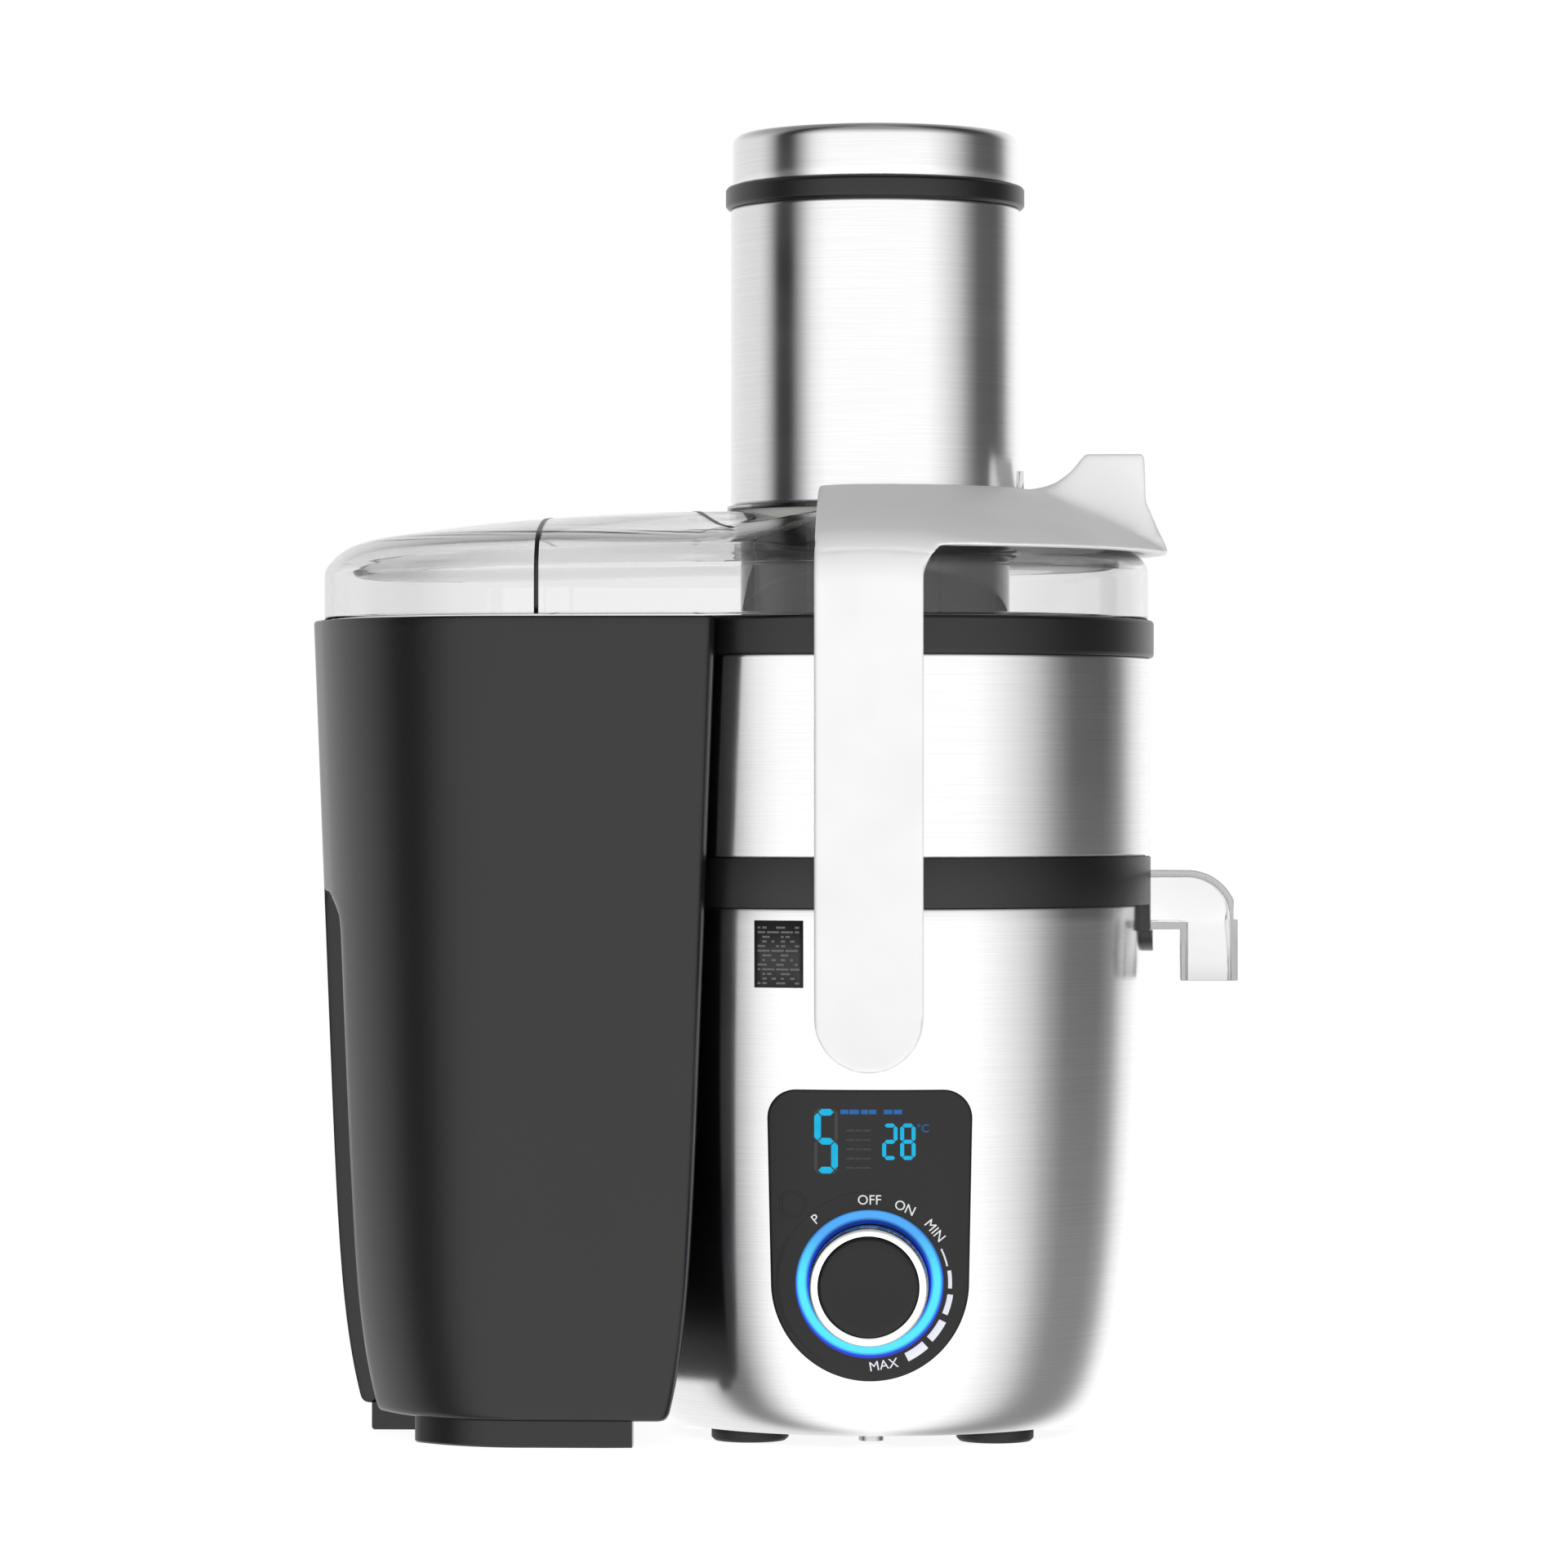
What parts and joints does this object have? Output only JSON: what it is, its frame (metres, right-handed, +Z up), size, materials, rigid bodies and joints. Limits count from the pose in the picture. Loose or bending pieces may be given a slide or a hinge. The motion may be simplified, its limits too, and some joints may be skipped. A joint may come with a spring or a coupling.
{
  "type": "centrifugal juicer",
  "caption": "Upright juicer: motor base with lit speed dial, bowl with side spout, spinning filter, clear lid with wide chute and pusher, swing-over locking arm and pulp bin.",
  "frame": {"origin": "on the table, at the middle of the footprint's bounding box; the motor axis stands at x = 0.0325, y = 0", "axes": "+Z up, -Y towards the user and the dial, +X towards the spout, so the pulp bin stands at -X"},
  "size_m": [0.299, 0.198, 0.4234],
  "materials": {
    "brushed_steel": "brushed round the circumference, satin",
    "black_plastic": "moulded, low sheen",
    "panel_black": "smooth satin with printed legends",
    "bin_black": "satin moulded",
    "foot_rubber": "matt",
    "screw_steel": "zinc plated",
    "machined_steel": "turned",
    "cast_alloy": "die cast",
    "clear_plastic": "clear, polished",
    "light_guide": "blue, lit from behind",
    "circuit_board": "solder mask",
    "display_glass": "smooth dark window",
    "lamination_steel": "varnished laminations",
    "copper_winding": "enamelled copper wire",
    "brass": "stamped",
    "carbon": "pressed carbon",
    "seal_rubber": "silicone",
    "arm_plastic": "silver-white, satin",
    "knob_trim": "bright ring",
    "pusher_grey": "dark grey",
    "white_nylon": "nylon"
  },
  "bodies": {
    "motor_base": {"rubber_feet": "foot_rubber", "base_plate": "black_plastic", "plate_screws": "screw_steel", "housing_shell": "brushed_steel", "top_deck": "black_plastic", "control_panel": "panel_black", "knob_seat": "panel_black", "light_ring": "light_guide", "display_module": "display_glass", "control_board": "circuit_board", "selector_switch": "machined_steel", "power_board": "circuit_board", "cord_gland": "black_plastic", "side_label": "panel_black", "interlock_switch": "black_plastic", "pivot_bushes": "white_nylon", "motor_dampers": "foot_rubber", "damper_screws": "screw_steel", "lower_bracket": "cast_alloy", "upper_bracket": "cast_alloy", "motor_bolts": "screw_steel", "lower_bearing": "machined_steel", "upper_bearing": "machined_steel", "stator_core": "lamination_steel", "field_coils": "copper_winding", "brush_holders": "brass", "carbon_brushes": "carbon", "shaft_seal": "seal_rubber", "juice_bowl": "clear_plastic", "juice_spout": "clear_plastic", "bowl_cover": "brushed_steel", "bowl_rim": "black_plastic", "bowl_seal": "seal_rubber", "lid_cover": "clear_plastic", "lid_ribs": "black_plastic", "feed_chute": "clear_plastic", "chute_sleeve": "brushed_steel"},
    "spinner": {"motor_shaft": "machined_steel", "rotor_core": "lamination_steel", "rotor_windings": "copper_winding", "commutator": "copper_winding", "cooling_fan": "white_nylon", "drive_coupling": "machined_steel", "filter_hub": "black_plastic", "shredder_disc": "brushed_steel", "shredder_teeth": "machined_steel", "filter_basket": "brushed_steel", "basket_rim": "black_plastic"},
    "pusher": {"pusher_body": "pusher_grey", "pusher_ring": "black_plastic", "pusher_cap": "brushed_steel"},
    "knob": {"knob_cap": "panel_black", "knob_ring": "knob_trim", "knob_spindle": "machined_steel"},
    "locking_arm": {"locking_arm": "arm_plastic", "arm_pivots": "machined_steel", "interlock_cam": "white_nylon"},
    "pulp_bin": {"pulp_bin": "bin_black", "bin_feet": "bin_black"}
  },
  "joints": [
    {"name": "filter_spin", "type": "hinge", "parent": "motor_base", "child": "spinner", "pos_m": [0.0325, 0, 0.1], "axis": [0, 0, 1], "continuous": true},
    {"name": "dial_turn", "type": "hinge", "parent": "motor_base", "child": "knob", "pos_m": [0.0325, -0.09, 0.053], "axis": [0, 1, 0], "range_deg": [-40, 170]},
    {"name": "arm_swing", "type": "hinge", "parent": "motor_base", "child": "locking_arm", "pos_m": [0.0325, 0, 0.136], "axis": [0, 1, 0], "range_deg": [0, 95]},
    {"name": "pusher_lift", "type": "slide", "parent": "motor_base", "child": "pusher", "axis": [0, 0, 1], "range_m": [0, 0.18]},
    {"name": "bin_slide", "type": "slide", "parent": "motor_base", "child": "pulp_bin", "axis": [-1, 0, 0], "range_m": [0, 0.13]}
  ]
}
